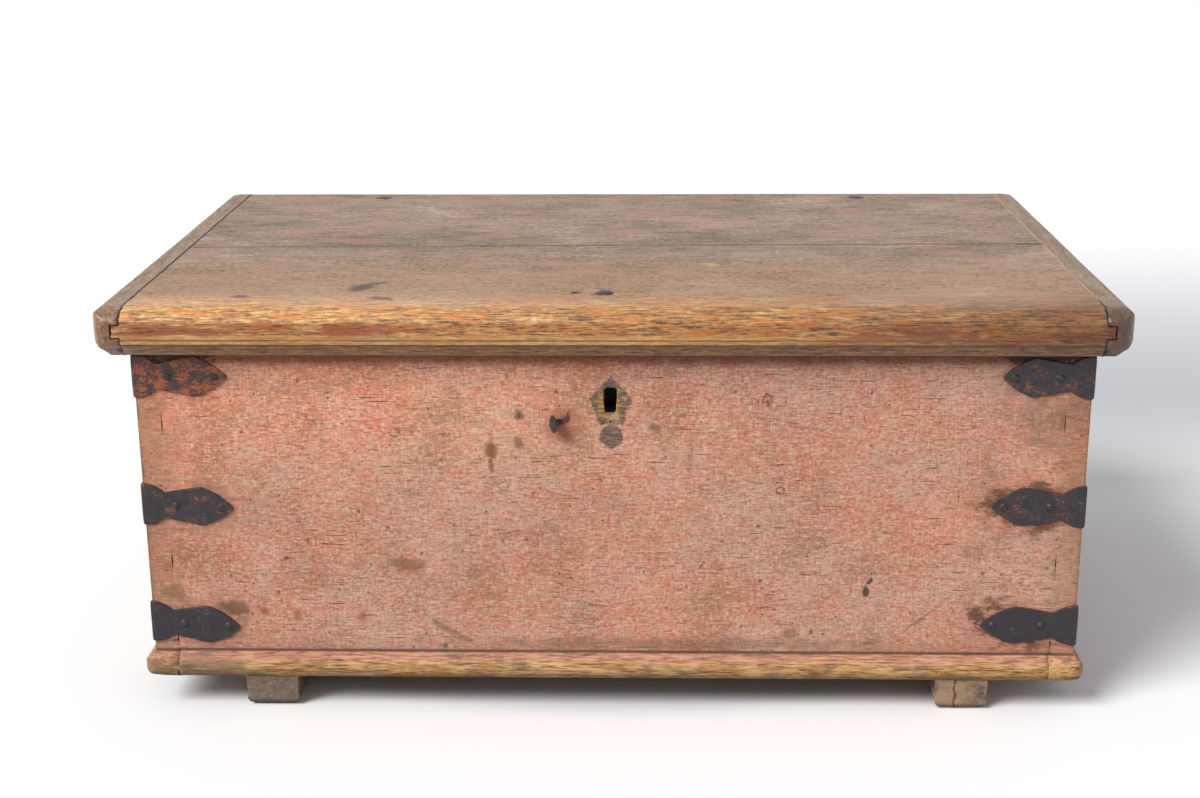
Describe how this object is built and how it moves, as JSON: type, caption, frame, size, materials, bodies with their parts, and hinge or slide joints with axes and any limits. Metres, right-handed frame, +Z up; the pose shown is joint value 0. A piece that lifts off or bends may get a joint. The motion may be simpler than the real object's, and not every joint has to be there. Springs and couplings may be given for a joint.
{
  "type": "blanket chest",
  "caption": "Low dovetailed pine blanket chest in worn paint, with a thick hinged lid, iron corner straps, an inside lock, a moulded base and runner feet.",
  "frame": {"origin": "centre of the floor area that the chest covers, at floor level", "axes": "+X to the right along the chest's length, +Y from the front to the back, +Z up"},
  "size_m": [1.029, 0.6544, 0.4368],
  "materials": {
    "painted_pine": "worn matt salmon paint on pine",
    "lid_pine": "rubbed pine with traces of paint",
    "base_pine": "rubbed bare pine with painted slope",
    "runner_pine": "grey weathered pine",
    "strap_iron": "forged, dark, rusted in places",
    "nail_iron": "forged, dark",
    "hinge_iron": "forged, dark",
    "lock_iron": "forged, dull"
  },
  "bodies": {
    "case": {"front_board": "painted_pine", "back_board": "painted_pine", "left_end_board": "painted_pine", "right_end_board": "painted_pine", "bottom_board_front": "base_pine", "bottom_board_middle": "base_pine", "bottom_board_rear": "base_pine", "bottom_end_left": "base_pine", "bottom_end_right": "base_pine", "runner_left": "runner_pine", "runner_right": "runner_pine", "strap_front_left_upper": "strap_iron", "strap_front_left_middle": "strap_iron", "strap_front_left_lower": "strap_iron", "strap_front_right_upper": "strap_iron", "strap_front_right_middle": "strap_iron", "strap_front_right_lower": "strap_iron", "strap_rear_left_upper": "strap_iron", "strap_rear_left_middle": "strap_iron", "strap_rear_left_lower": "strap_iron", "strap_rear_right_upper": "strap_iron", "strap_rear_right_middle": "strap_iron", "strap_rear_right_lower": "strap_iron", "strap_nails": "nail_iron", "bottom_nails": "nail_iron", "runner_nails": "nail_iron", "bent_nail": "nail_iron", "lock_nails": "nail_iron", "hinge_staple_left": "hinge_iron", "hinge_staple_right": "hinge_iron", "lock_plate": "lock_iron", "lock_cover": "lock_iron", "bolt_guide_left": "lock_iron", "bolt_guide_right": "lock_iron", "bolt_spring": "lock_iron", "key_pin": "lock_iron"},
    "lid": {"lid_front_board": "lid_pine", "lid_rear_board": "lid_pine", "lid_end_left": "lid_pine", "lid_end_right": "lid_pine", "lid_end_nails": "nail_iron", "hinge_eye_left": "hinge_iron", "hinge_eye_right": "hinge_iron", "lid_staple": "lock_iron", "staple_nail": "nail_iron"},
    "bolt": {"lock_bolt": "lock_iron"}
  },
  "joints": [
    {"name": "lid_hinge", "type": "hinge", "parent": "case", "child": "lid", "pos_m": [0, 0.3179, 0.385], "axis": [-1, 0, 0], "range_deg": [0, 100]},
    {"name": "bolt_slide", "type": "slide", "parent": "case", "child": "bolt", "axis": [-1, 0, 0], "range_m": [0, 0.014]}
  ]
}
